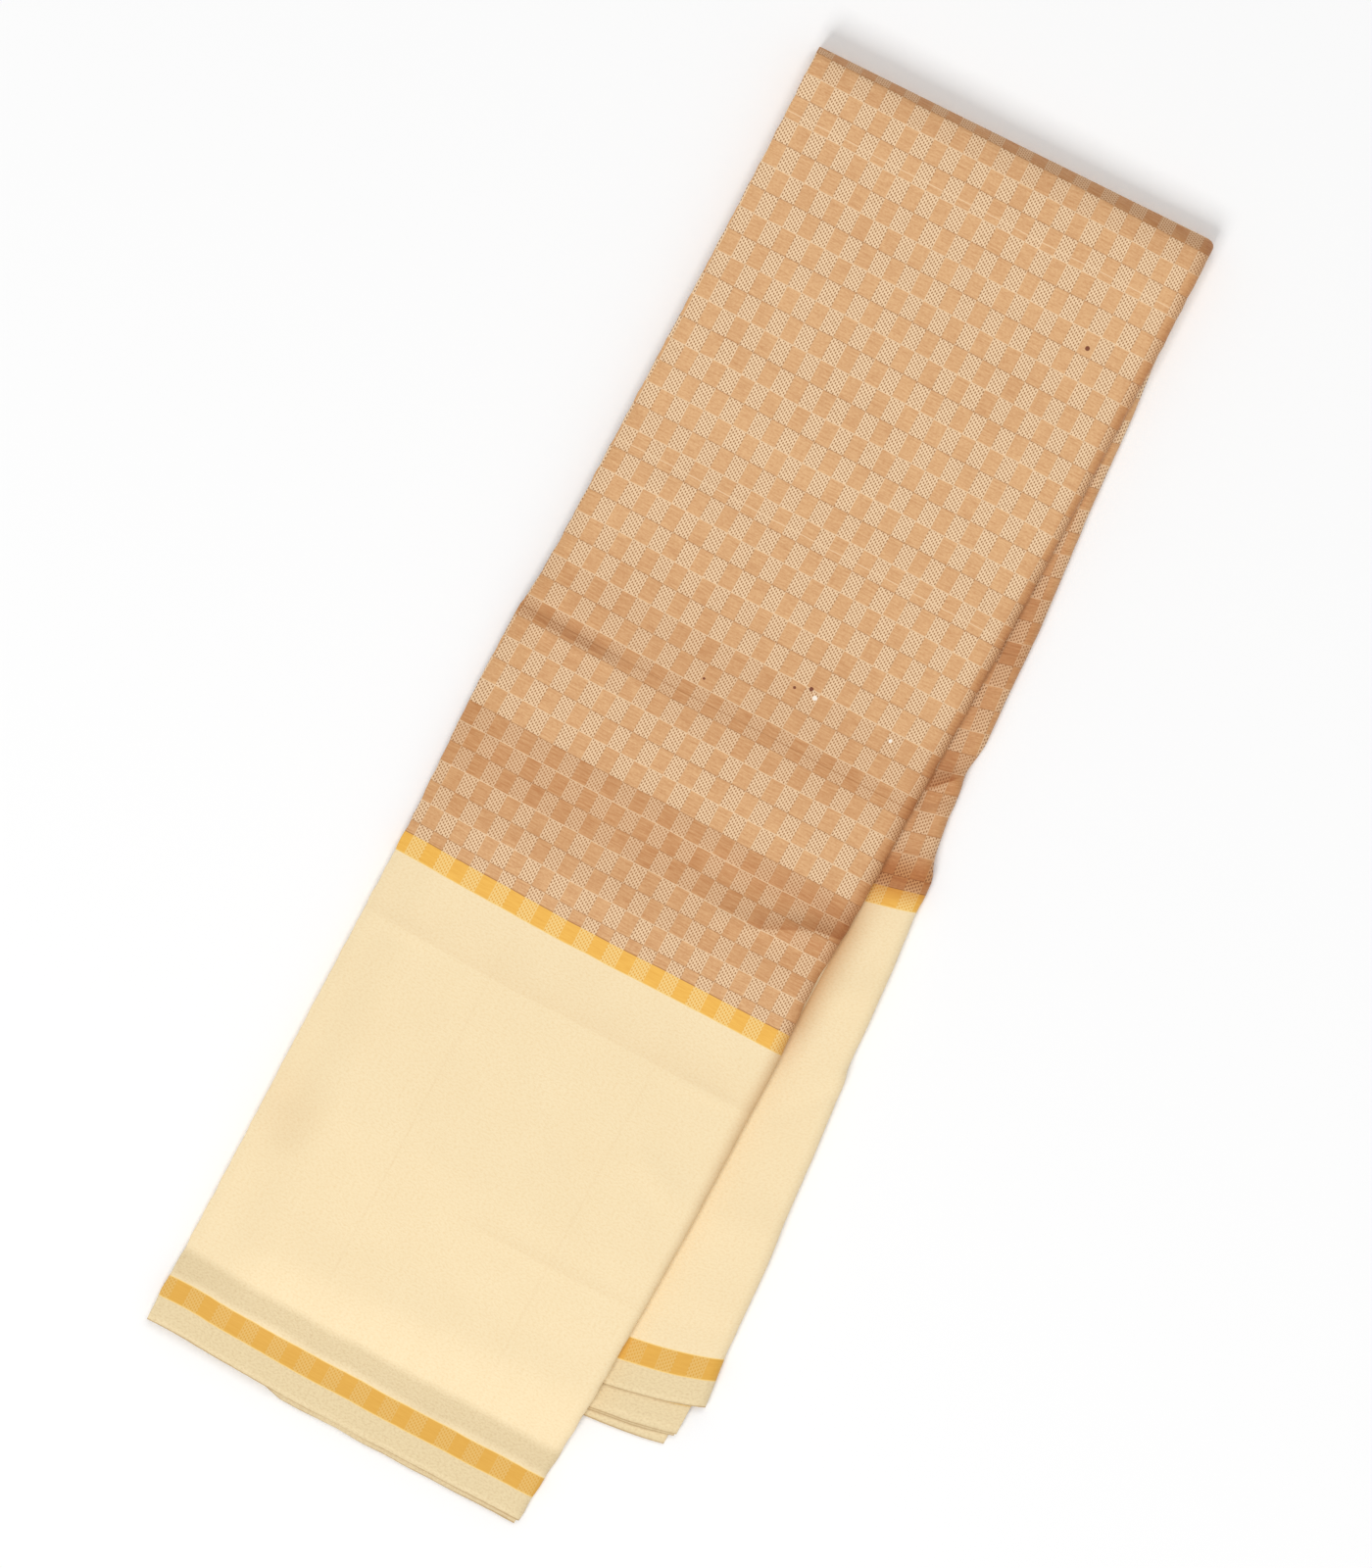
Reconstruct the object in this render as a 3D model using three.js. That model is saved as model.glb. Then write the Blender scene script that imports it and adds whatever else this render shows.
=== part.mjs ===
// Silk saree, folded lengthwise into a long flat strip and then folded once across.
// Millimetres, +Z up. The turn across the strip is towards +Y, both ends are towards -Y.
// The origin is the middle of the footprint, on the surface that the saree lies on.

import * as THREE from 'three';

// Cloth and layers
const cloth = 1.2;
const gap = 0.3;
const skin = cloth + gap;

// One run of the folded strip
const runThickness = 8;
const rollDepth = 4.5;
const edgeSoftness = 0.9;
const edgeWidth = 4;
const edgeFullFrom = 40;

// Turn across the strip: the two runs meet in it, and its line rises to the right
const turnDepth = 7;
const turnRise = 5.6;
const turnWidth = 189.4;

// Upper run, measured down the strip from the turn's left corner
const upperEnd = 617.3;
const upperEndFall = 1.9;
const upperEndThickness = 6;
const upperThinsFrom = 480;

// Lower run: it leans to the right under the upper run, and its end stops short
const lowerLean = 42 / 555;
const lowerEndLeft = 562;
const lowerEndRight = 538.8;
const lowerEndThickness = 6.4;
const lowerThinsFrom = 500;
const lowerThinTo = 545;
const lowerEndSlope = 0.0794;

// Towards its end, a row of the lower run bows up near its right edge
const bowShare = 0.45;
const bowPower = 6;

// Where nothing carries it, the upper run sags to the surface within this reach
const sideSagReach = 34;
const endSagReach = 44;
const sagStart = 3;

// Sections of the upper run: distance down, its two edges, and how far its top face swells
const upperSections = [
  { down: 40, left: 0.6, right: 190.3, swell: 0.4 },
  { down: 100, left: 1.0, right: 190.3, swell: 0.8 },
  { down: 170, left: 1.0, right: 190.2, swell: 0.8 },
  { down: 230, left: 0.7, right: 189.6, swell: 0.3 },
  { down: 255, left: 0.0, right: 189.3, swell: 0.8 },
  { down: 280, left: -1.4, right: 188.9, swell: 1.7 },
  { down: 305, left: -1.4, right: 188.9, swell: 0.5 },
  { down: 325, left: -1.0, right: 189.0, swell: 1.5 },
  { down: 340, left: -0.5, right: 187.9, swell: 0.2 },
  { down: 358, left: 0.2, right: 186.9, swell: 1.2 },
  { down: 380, left: 0.7, right: 187.4, swell: 0.4 },
  { down: 420, left: 0.7, right: 188.9, swell: 0.3 },
  { down: 460, left: 0.9, right: 188.8, swell: 0.4 },
  { down: 500, left: 1.1, right: 188.0, swell: 0.4 },
  { down: 530, left: 1.2, right: 187.1, swell: 0.4 },
  { down: 553, left: 1.3, right: 186.8, swell: 0.4 },
  { down: 568, left: 1.3, right: 185.9, swell: 0.3 },
  { down: 582, left: 1.3, right: 185.2, swell: 0.2 },
  { down: 595, left: 1.0, right: 184.1, swell: 0.1 },
  { down: 607, left: 1.2, right: 183.3, swell: 0 },
];
const upperEndEdges = { left: 1.7, right: 182.6 };

// Sections of the lower run, from its end to the turn: distance down its right edge, and that edge
const lowerSections = [
  { down: 515, right: 228.1 },
  { down: 472, right: 225.8 },
  { down: 421, right: 221.2 },
  { down: 384, right: 217.4 },
  { down: 335, right: 213.7 },
  { down: 298, right: 211.2 },
  { down: 286, right: 207.4 },
  { down: 268, right: 204.4 },
  { down: 246, right: 201.8 },
  { down: 238, right: 203.6 },
  { down: 180, right: 201.1 },
  { down: 104, right: 194.8 },
  { down: 49, right: 190.3 },
];
const lowerEndEdge = 230.9;

// Leaves that show beyond the lower run's end: where each ends, its right edge and its height
const middleLeaf = { left: 571, right: 554.7, edge: 225.2 };
const bottomLeaf = { left: 573, right: 561, edge: 222.3, height: 2.9 };

// The upper run's lower leaf shows beyond its top leaf, from about a third of the way across
const peekFrom = 0.3;
const peekTo = 0.4;
const peek = 2;
const hiddenBack = 1;
const peekHeight = 2.6;
const floorLeafBack = 4;

// Length over which a step between leaves drops
const sliver = 0.05;

// Places across a run where its faces are cut into columns, and steps round its folds
const columns = [0, 0.02, 0.06, 0.11, 0.16, 0.21, 0.27, 0.36, 0.52, 0.68, 0.84, 0.96, 1];
const rollSteps = 6;
const turnSteps = 8;

// Folded edges at the left of the strip, each standing back by its own amount
const foldedEdges = [1.3, 0.3, 0.9];
const grooveDepth = 1.6;
const foldRound = 0.5;
const foldShoulder = 0.18;

const { lerp, smoothstep, inverseLerp, clamp } = THREE.MathUtils;

// Thickness of the lower run, and the left edge it keeps, at a distance down the strip
const lowerThickness = (down) => {
  const thinned = clamp(inverseLerp(lowerThinsFrom, lowerThinTo, down), 0, 1);
  return lerp(runThickness, lowerEndThickness, thinned);
};
const lowerLeft = (down) => lowerLean * (down - turnDepth);

// Height of the upper run's lower face: it lies on the lower run, and sags past its left edge and its end
function restHeight(x, down) {
  const pastSide = smoothstep(lowerLeft(down) - x, sagStart, sideSagReach);
  const endHere = lowerEndLeft - lowerEndSlope * (x - lowerLeft(lowerEndLeft));
  const pastEnd = smoothstep(down - endHere, sagStart, endSagReach);
  return (lowerThickness(down) + gap) * (1 - pastSide) * (1 - pastEnd);
}

// The left edge of each run is pressed flatter than its middle, except in the turn itself
function edgeDrop(x, left, down) {
  const nearEdge = 1 - smoothstep(x - left, 0, edgeWidth);
  return edgeSoftness * nearEdge * smoothstep(down, turnDepth, edgeFullFrom);
}

// A row is one section across the strip. Its thickness and its point at (x, height) are functions;
// height goes from the face that is folded inwards to the face that is outermost.
// narrow takes the row's right edge back along its own line.
function upperRow({ down, left, right, narrow = 0, swell = 0, hang = 0, slant = 0 }) {
  const rise = lerp(turnRise, -upperEndFall, inverseLerp(turnDepth, upperEnd, down));
  const share = (x) => clamp((x - left) / (right - left), 0, 1);
  const place = (x) => down - rise * share(x) + hang * smoothstep(share(x), peekFrom, peekTo);
  const plain = lerp(runThickness, upperEndThickness, smoothstep(down, upperThinsFrom, upperEnd));
  const thickness = (x) => plain + swell * Math.sin(Math.PI * share(x)) - edgeDrop(x, left, down);
  const point = (x, height) => {
    const back = slant * (1 - smoothstep(height, cloth, thickness(x) - cloth));
    return [x, place(x) - back, restHeight(x, place(x)) + height];
  };
  return { left, right: right - narrow, thickness, point };
}

function lowerRow({ down, right, narrow = 0, fallLeft = null }) {
  const along = inverseLerp(turnDepth - turnRise, lowerEndRight, down);
  const fall = fallLeft ?? lerp(turnRise, lowerEndLeft - lowerEndRight, along);
  const left = lowerLeft(down + fall);
  const share = (x) => clamp((x - left) / (right - left), 0, 1);
  const bend = (part) => lerp(part, part ** bowPower, bowShare * along);
  const place = (x) => down + fall * (1 - bend(share(x)));
  const thickness = (x) => lowerThickness(place(x)) - edgeDrop(x, left, down);
  const point = (x, height) => [x, place(x), thickness(x) - height];
  return { left, right: right - narrow, thickness, point };
}

// In the turn the height becomes a radius about the line where the two runs meet
function turnRow(angle) {
  const left = 0;
  const right = turnWidth;
  const squash = turnDepth / (runThickness + gap / 2);
  const line = (x) => turnDepth - turnRise * (x - left) / (right - left);
  const thickness = () => runThickness;
  const point = (x, height) => {
    const radius = height + gap / 2;
    const out = radius * squash * Math.sin(angle);
    return [x, line(x) - out, runThickness + gap / 2 + radius * Math.cos(angle)];
  };
  return { left, right, thickness, point };
}

const columnPlaces = (row) => columns.map((share) => lerp(row.left, row.right - rollDepth, share));

// Angles round the folded edge at the right, from the outermost face to the inner one
const rollAngles = Array.from({ length: rollSteps - 1 }, (_, k) => Math.PI * (0.5 - (k + 1) / rollSteps));

// One face of the cloth round a row: outermost face, rounded fold, inner face, all inset by a depth
function clothLine(row, inset) {
  const places = columnPlaces(row);
  const fold = row.right - rollDepth;
  const middle = row.thickness(fold) / 2;
  const outermost = places.map((x) => row.point(x, row.thickness(x) - inset));
  const roll = rollAngles.map((angle) => row.point(
    fold + (rollDepth - inset) * Math.cos(angle),
    middle + (middle - inset) * Math.sin(angle),
  ));
  const innermost = places.map((x) => row.point(x, inset)).reverse();
  return [...outermost, ...roll, ...innermost];
}

// Outline of the hidden layers in a row, with the folded edges of the layers at its left.
// inside and outside are how far it stays within the row's inner and outermost faces.
function layersOutline({ row, inside = skin, outside = skin }) {
  const from = inside;
  const top = (x) => row.thickness(x) - outside;
  const places = columnPlaces(row);
  places[0] += skin;
  const fold = row.right - rollDepth;
  const middle = (top(fold) + from) / 2;
  const half = (top(fold) - from) / 2;
  const outline = places.map((x) => [x, top(x)]);
  rollAngles.forEach((angle) => outline.push([
    fold + (rollDepth - skin) * Math.cos(angle),
    middle + half * Math.sin(angle),
  ]));
  places.slice().reverse().forEach((x) => outline.push([x, from]));
  const step = (top(places[0]) - from) / foldedEdges.length;
  foldedEdges.forEach((back, k) => {
    const level = from + step * k;
    outline.push([row.left + back + foldRound, level + foldShoulder * step]);
    outline.push([row.left + back, level + 0.5 * step]);
    outline.push([row.left + back + foldRound, level + (1 - foldShoulder) * step]);
    if (k < foldedEdges.length - 1) {
      outline.push([row.left + back + grooveDepth, level + step]);
    }
  });
  return { flat: outline, ring: outline.map(([x, height]) => row.point(x, height)) };
}

function geometryFrom(points, faces) {
  const geometry = new THREE.BufferGeometry();
  const flipped = points.flatMap(([x, down, z]) => [x, -down, z]);
  geometry.setAttribute('position', new THREE.Float32BufferAttribute(flipped, 3));
  geometry.setIndex(faces.flat());
  return geometry;
}

// Closed wall between an outer and an inner grid of points, one line of points for each row
function wallGeometry(rows) {
  const outer = rows.map((row) => clothLine(row, 0));
  const inner = rows.map((row) => clothLine(row, cloth));
  const across = outer[0].length;
  const last = rows.length - 1;
  const points = [...outer.flat(), ...inner.flat()];
  const out = (i, j) => i * across + j;
  const inn = (i, j) => (rows.length + i) * across + j;
  const faces = [];
  const quad = (a, b, c, d) => faces.push([a, b, c], [a, c, d]);
  for (let i = 0; i < last; i += 1) {
    for (let j = 0; j < across - 1; j += 1) {
      quad(out(i, j), out(i + 1, j), out(i + 1, j + 1), out(i, j + 1));
      quad(inn(i, j), inn(i, j + 1), inn(i + 1, j + 1), inn(i + 1, j));
    }
    quad(out(i, 0), inn(i, 0), inn(i + 1, 0), out(i + 1, 0));
    quad(out(i, across - 1), out(i + 1, across - 1), inn(i + 1, across - 1), inn(i, across - 1));
  }
  for (let j = 0; j < across - 1; j += 1) {
    quad(out(0, j), out(0, j + 1), inn(0, j + 1), inn(0, j));
    quad(out(last, j), inn(last, j), inn(last, j + 1), out(last, j + 1));
  }
  return geometryFrom(points, faces);
}

// Closed body through a run of outlines, capped at both ends
function layersGeometry(slices) {
  const outlines = slices.map(layersOutline);
  const around = outlines[0].ring.length;
  const last = outlines.length - 1;
  const points = outlines.flatMap(({ ring }) => ring);
  const faces = [];
  for (let i = 0; i < last; i += 1) {
    for (let j = 0; j < around; j += 1) {
      const next = (j + 1) % around;
      const corner = i * around;
      faces.push([corner + j, corner + around + j, corner + around + next]);
      faces.push([corner + j, corner + around + next, corner + next]);
    }
  }
  const cap = (index, turned) => {
    const contour = outlines[index].flat.map(([x, height]) => new THREE.Vector2(x, height));
    THREE.ShapeUtils.triangulateShape(contour, []).forEach(([a, b, c]) => {
      const clockwise = THREE.ShapeUtils.isClockWise([contour[a], contour[b], contour[c]]);
      const face = clockwise === turned ? [a, b, c] : [a, c, b];
      faces.push(face.map((corner) => index * around + corner));
    });
  };
  cap(0, true);
  cap(last, false);
  return geometryFrom(points, faces);
}

// Rows along the strip, from the lower run's end, round the turn, to the upper run's end
const lowerEndFall = lowerEndLeft - lowerEndRight;
const lowerEndRow = lowerRow({ down: lowerEndRight, right: lowerEndEdge });
const lowerRows = lowerSections.map(lowerRow);
const lowerSeamRow = lowerRow({ down: turnDepth - turnRise + gap, right: turnWidth });
const turnRows = Array.from({ length: turnSteps + 1 }, (_, k) => turnRow(Math.PI * (1 - k / turnSteps)));
const upperSeamRow = upperRow({ down: turnDepth + gap, left: 0, right: turnWidth });
const upperRows = upperSections.map(upperRow);
const upperEndRow = (back, shape = {}) => upperRow({ down: upperEnd - back, ...upperEndEdges, ...shape });

// The layers step out from under the cloth at the lower end, and lie on the surface there
const underLeaf = lowerEndThickness - bottomLeaf.height;
const leafRow = (leaf, past = 0) =>
  lowerRow({ down: leaf.right + past, right: leaf.edge, fallLeft: leaf.left - leaf.right });
const lowerStepRow = (past) => lowerRow({
  down: lowerEndRight + past,
  right: lowerEndEdge,
  narrow: lowerEndEdge - middleLeaf.edge,
  fallLeft: lowerEndFall,
});
const lowerLayers = [
  { row: leafRow(bottomLeaf), inside: underLeaf, outside: 0 },
  { row: leafRow({ ...middleLeaf, edge: bottomLeaf.edge }, sliver), inside: underLeaf, outside: 0 },
  { row: leafRow(middleLeaf), outside: 0 },
  { row: lowerStepRow(gap + sliver), outside: 0 },
  { row: lowerStepRow(gap) },
];

// The same at the upper end, where one leaf shows below the top one
const abovePeek = upperEndThickness - peekHeight;
const floorBack = floorLeafBack - gap;
const narrow = rollDepth - skin;
const upperLayers = [
  { row: upperEndRow(floorBack, { narrow }) },
  { row: upperEndRow(floorBack - sliver, { narrow }), inside: 0 },
  { row: upperEndRow(hiddenBack + sliver, { narrow }), inside: 0 },
  { row: upperEndRow(hiddenBack, { narrow }), inside: 0, outside: abovePeek },
  { row: upperEndRow(hiddenBack / 2, { narrow, hang: hiddenBack / 2 + peek }), inside: 0, outside: abovePeek },
];

const checkedSilk = { color: 0xdcb387, roughness: 0.55, metalness: 0 };
const plainSilk = { color: 0xf8e4b9, roughness: 0.5, metalness: 0 };
const layeredSilk = { color: 0xefd2a2, roughness: 0.6, metalness: 0 };

const saree = new THREE.Group();

function addPiece(name, geometry, finish) {
  geometry.computeVertexNormals();
  const piece = new THREE.Mesh(geometry, new THREE.MeshStandardMaterial(finish));
  piece.name = name;
  saree.add(piece);
}

const asSlice = (row) => ({ row });
const lowerCloth = [lowerEndRow, ...lowerRows, lowerSeamRow];
const upperCloth = [upperSeamRow, ...upperRows, upperEndRow(0, { slant: floorLeafBack })];
const allLayers = [
  ...lowerLayers,
  ...[...lowerRows, ...turnRows, ...upperRows].map(asSlice),
  ...upperLayers,
];

addPiece('upper_stretch', wallGeometry(upperCloth), checkedSilk);
addPiece('turn_stretch', wallGeometry(turnRows), checkedSilk);
addPiece('lower_stretch', wallGeometry(lowerCloth), plainSilk);
addPiece('hidden_layers', layersGeometry(allLayers), layeredSilk);

const box = new THREE.Box3().setFromObject(saree);
const middle = box.getCenter(new THREE.Vector3());
saree.position.set(-middle.x, -middle.y, -box.min.z);

export default saree;
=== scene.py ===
"""Silk saree, folded lengthwise into a long flat strip and then once across, lying flat.

Shapes are worked out in millimetres on the folded strip: x to the right of the upper run's top left corner,
down along the strip from it, and z above the surface. They go into the frame, in metres, with each mesh.
"""
import math

import bpy
import numpy as np
from mathutils import Euler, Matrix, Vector


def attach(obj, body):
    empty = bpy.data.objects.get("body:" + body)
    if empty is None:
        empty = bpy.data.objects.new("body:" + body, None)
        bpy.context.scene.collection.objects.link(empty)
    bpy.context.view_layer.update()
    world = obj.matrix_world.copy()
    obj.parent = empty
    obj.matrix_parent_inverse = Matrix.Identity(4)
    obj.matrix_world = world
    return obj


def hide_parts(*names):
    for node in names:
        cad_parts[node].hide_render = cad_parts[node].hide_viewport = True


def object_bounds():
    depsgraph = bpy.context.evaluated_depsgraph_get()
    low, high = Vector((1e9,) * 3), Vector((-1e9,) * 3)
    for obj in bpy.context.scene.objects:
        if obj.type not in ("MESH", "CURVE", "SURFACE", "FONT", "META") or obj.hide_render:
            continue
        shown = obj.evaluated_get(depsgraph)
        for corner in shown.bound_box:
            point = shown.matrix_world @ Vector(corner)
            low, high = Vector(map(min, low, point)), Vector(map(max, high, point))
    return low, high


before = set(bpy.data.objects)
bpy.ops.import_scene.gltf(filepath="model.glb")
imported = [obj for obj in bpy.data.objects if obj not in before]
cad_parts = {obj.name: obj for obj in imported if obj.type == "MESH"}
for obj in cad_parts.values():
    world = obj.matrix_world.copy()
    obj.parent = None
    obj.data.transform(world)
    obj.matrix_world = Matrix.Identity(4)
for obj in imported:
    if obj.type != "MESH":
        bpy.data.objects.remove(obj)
cad_low, cad_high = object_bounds()

# Cloth of the upper run
# The outermost layer of the folded silk: it starts at the selvedge, covers the upper run, goes round the
# fold at the right to the run's lower face, and carries on over the turn at the top down to the surface.

MM = 0.001
STRIP_RIGHT = 230.9
STRIP_TOP = -5.6

RUN_THICKNESS = 8.0
LAYER_GAP = 0.3
ROLL_DEPTH = 4.5
SILK = 0.4
FOLD_BEND = 0.5
TURNED_IN = 5.0

TURN_WIDTH = 189.4
TURN_RISE = 5.6
TURN_DEPTH_LEFT, TURN_DEPTH_RIGHT = 3.2, 6.6
CREASE_POWER = 1.7

UPPER_END = 617.3
UPPER_END_THICKNESS = 6.0
UPPER_THINS_FROM = 480.0
FLOOR_LEAF_BACK = 4.0

LOWER_LEAN = 42 / 555
LOWER_AXIS = 7.0
LOWER_END_LEFT, LOWER_END_RIGHT = 562.0, 538.8
LOWER_END_THICKNESS = 6.4
LOWER_THINS_FROM, LOWER_THINS_TO = 500.0, 545.0
LOWER_END_SLOPE = 0.0794
SAG_START, SIDE_SAG_REACH, END_SAG_REACH = 3.0, 34.0, 44.0

# Both runs are pressed flatter at the left edge, over a short reach in from it. The upper run puffs up a
# little before the turn, its creases start past the turn, and its lowest leaves fall back near its end.
EDGE_PRESSED, EDGE_REACH = 0.9, 4
PUFF, PUFF_WIDE, PUFF_FALLS, PUFF_ENDS = 0.9, 9, 14, 60
CREASES_START, CREASES_FULL = 8, 30
LEAVES_FALL_BACK = 590

# Edges of the upper run and the swell of its top face, at distances down the strip
upper_down = np.array([
    0, 50, 100, 178, 240, 262, 273, 300, 322, 340, 356, 372, 395, 470, 512, 551, 586, 606, 622])
upper_left = np.array([
    0, .7, 1.0, 1.0, .8, .1, -1.4, -1.5, -1.2, -.5, .1, .7, .7, .9, 1.2, 1.3, 1.3, .7, 1.7])
upper_right = np.array([
    189.6, 190.3, 190.3, 190.3, 189.5, 189.1, 188.9, 188.9, 189.0, 188.0,
    186.9, 187.3, 188.9, 188.9, 188.0, 186.9, 185.0, 183.5, 182.6])
swell_down = np.array([7, 40, 100, 170, 230, 255, 280, 305, 325, 340, 358, 380, 420, 500, 553, 582, 607])
swell_rise = np.array([0, .4, .8, .8, .3, .8, 1.7, .5, 1.5, .2, 1.2, .4, .3, .4, .4, .2, 0])

# How far the silk's grain sways on the upper run, to the right and down, at distances down the strip
sway_down = np.array([0, 24, 53, 82, 111, 140, 169, 198, 227, 256, 285, 314, 343, 400])
sway_right = np.array([.6, .8, 1.6, 2.1, 2.8, 3.0, 3.0, 2.7, 2.2, 1.7, .6, -.1, -.2, -.2])
sway_along = np.array([-.6, -.6, -.2, 0, .5, .9, .9, .9, 1.1, 1.1, .2, .1, -.4, 0])

# Creases of the upper run: where each starts and ends (x, down), how high it stands and how wide it is
upper_creases = [
    ((-3, 275.5), (58, 277), 1.1, 2.9),
    ((-3, 269.5), (54, 271), -0.9, 3.4),
    ((130, 352), (178, 338), 1.4, 4.0),
    ((160, 339), (197, 335), 2.0, 4.0),
    ((110, 336), (197, 324), -1.5, 7.5),
    ((-3, 329), (26, 331), 0.5, 2.2),
    ((0, 300), (190, 302), 0.7, 12.0),
    ((0, 352), (150, 356), -0.4, 9.0),
    ((-3, 417), (40, 418), 0.5, 1.8),
    ((148, 421), (190, 418), 0.5, 1.8),
    ((100, 517), (190, 516), 0.3, 1.8),
    ((8, 500), (18, 524), -0.5, 6.0),
    ((63, 388), (64.5, 622), 0.35, 1.3),
    ((142.5, 388), (144, 622), 0.35, 1.3),
    ((150, 455), (188, 470), 0.6, 7.0),
    ((176, 200), (184, 330), -0.4, 3.0),
    ((8, 205), (60, 190), 0.4, 8.0),
    ((130, 130), (185, 150), 0.4, 9.0),
]


def soft(value, start, end):
    """Goes from 0 to 1 between start and end, level at both: 3 t squared less 2 t cubed."""
    t = np.clip((value - start) / (end - start), 0, 1)
    return t * t * (3 - 2 * t)


def eased(place, knots, values, reach=5.0):
    """A value read off a short table, averaged over a reach to each side so that no corner shows."""
    steps = np.linspace(-reach, reach, 7)
    return np.mean([np.interp(place + step, knots, values) for step in steps], axis=0)


def ripple(x, y, length, seed):
    """Uneven soft waves: the mean of seven sines of about one length, each with its own direction."""
    draw = np.random.default_rng(seed)
    count = 7
    angles = draw.uniform(0, 2 * np.pi, count)
    phases = draw.uniform(0, 2 * np.pi, count)
    lengths = length * draw.uniform(0.7, 1.5, count)
    waves = [np.sin(2 * np.pi * (x * np.cos(a) + y * np.sin(a)) / size + phase)
             for a, phase, size in zip(angles, phases, lengths)]
    return np.mean(waves, axis=0)


def creased(x, down, creases):
    """Sum of soft ridges: each a bell across a straight line, fading out at the line's two ends."""
    total = np.zeros(np.broadcast(x, down).shape)
    for (x0, d0), (x1, d1), height, width in creases:
        length = math.hypot(x1 - x0, d1 - d0)
        ahead = ((x - x0) * (x1 - x0) + (down - d0) * (d1 - d0)) / length
        aside = ((x - x0) * (d1 - d0) - (down - d0) * (x1 - x0)) / length
        fade = soft(ahead, -2, 0.25 * length) * (1 - soft(ahead, 0.7 * length, length + 2))
        total += height * fade * np.exp(-(aside / width) ** 2)
    return total


def lower_left(down):
    """Left edge of the lower run, which leans out in a straight line from the turn."""
    return LOWER_LEAN * (down - LOWER_AXIS)


def lower_plain(down):
    """Thickness of the lower run: even, then thinning in a straight line towards its end."""
    return np.interp(down, [LOWER_THINS_FROM, LOWER_THINS_TO], [RUN_THICKNESS, LOWER_END_THICKNESS])


def rest_height(x, down):
    """Height of the upper run's lower face.

    It is the top of the lower run, and sags to the surface past that run's side and end.
    """
    past_side = soft(lower_left(down) - x, SAG_START, SIDE_SAG_REACH)
    end_here = LOWER_END_LEFT - LOWER_END_SLOPE * (x - lower_left(LOWER_END_LEFT))
    past_end = soft(down - end_here, SAG_START, END_SAG_REACH)
    return (lower_plain(down) + LAYER_GAP) * (1 - past_side) * (1 - past_end)


def upper_edges(down):
    """Left and right edge of the upper run, from the table, with the small unevenness of folded cloth."""
    left = eased(down, upper_down, upper_left) + 0.45 * ripple(down, 0 * down, 9, 3)
    right = eased(down, upper_down, upper_right) + 0.4 * ripple(down, 0 * down, 9, 4)
    return left, right


def share_of(x):
    """How far across the turn's width a place is."""
    return np.clip(x / TURN_WIDTH, 0, 1)


def turn_line(x):
    """Where the top face begins to roll over the turn, down the strip: the outline and the turn's depth."""
    depth = TURN_DEPTH_LEFT + (TURN_DEPTH_RIGHT - TURN_DEPTH_LEFT) * share_of(x)
    return depth - TURN_RISE * share_of(x) + 0.25 * ripple(x, 0 * x, 22, 7)


def hem_line(x):
    """The selvedge's place down the strip: it dips softly over the first third, and is a little uneven."""
    return UPPER_END + 2.1 * soft(x, 0, 66) + 0.35 * ripple(x, 0 * x, 24, 8) + 0.15 * ripple(x, 0 * x, 5, 9)


def upper_down_at(along, x):
    """Place down the strip of a point of the upper run: along is 0 at the turn and 1 at the selvedge."""
    return turn_line(x) + along * (hem_line(x) - turn_line(x))


def upper_thickness(x, down):
    """Thickness of the upper run: thinner to its end, swollen in the middle, flatter at its left edge."""
    left, right = upper_edges(down)
    share = np.clip((x - left) / (right - left), 0, 1)
    plain = RUN_THICKNESS + (UPPER_END_THICKNESS - RUN_THICKNESS) * soft(down, UPPER_THINS_FROM, UPPER_END)
    swell = eased(down, swell_down, swell_rise) * np.sin(np.pi * share)
    edge = EDGE_PRESSED * (1 - soft(x - left, 0, EDGE_REACH)) * soft(down, LOWER_AXIS, 40)
    rounded = PUFF * soft(down - turn_line(x), 0, PUFF_WIDE) * (1 - soft(down, PUFF_FALLS, PUFF_ENDS))
    calm = soft(down, CREASES_START, CREASES_FULL)
    folds = creased(x, down, upper_creases) + 0.3 * ripple(x, down, 46, 5) + 0.12 * ripple(x, down, 17, 6)
    return plain + swell - edge + rounded + calm * folds


def upper_place(along, x, height):
    """A point of the upper run at a height above its lower face; its lowest leaves end a little short."""
    down = upper_down_at(along, x)
    under = 1 - soft(height, 1.5, 4)
    back = FLOOR_LEAF_BACK * under * soft(down, LEAVES_FALL_BACK, UPPER_END)
    return x, down - back, rest_height(x, down) + height


def turn_place(angle, x, height):
    """A point of the turn: a rounded corner about the line where the two runs meet, creased above it."""
    radius = height + LAYER_GAP / 2
    power = np.where(angle < np.pi / 2, CREASE_POWER, 1.0)
    out = np.abs(np.sin(angle)) ** power
    up = np.sign(np.cos(angle)) * np.abs(np.cos(angle)) ** power
    depth = turn_line(x) + TURN_RISE * share_of(x)
    down = turn_line(x) - out * radius * depth / (RUN_THICKNESS + LAYER_GAP / 2)
    return x, down, RUN_THICKNESS + LAYER_GAP / 2 + radius * up


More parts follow.
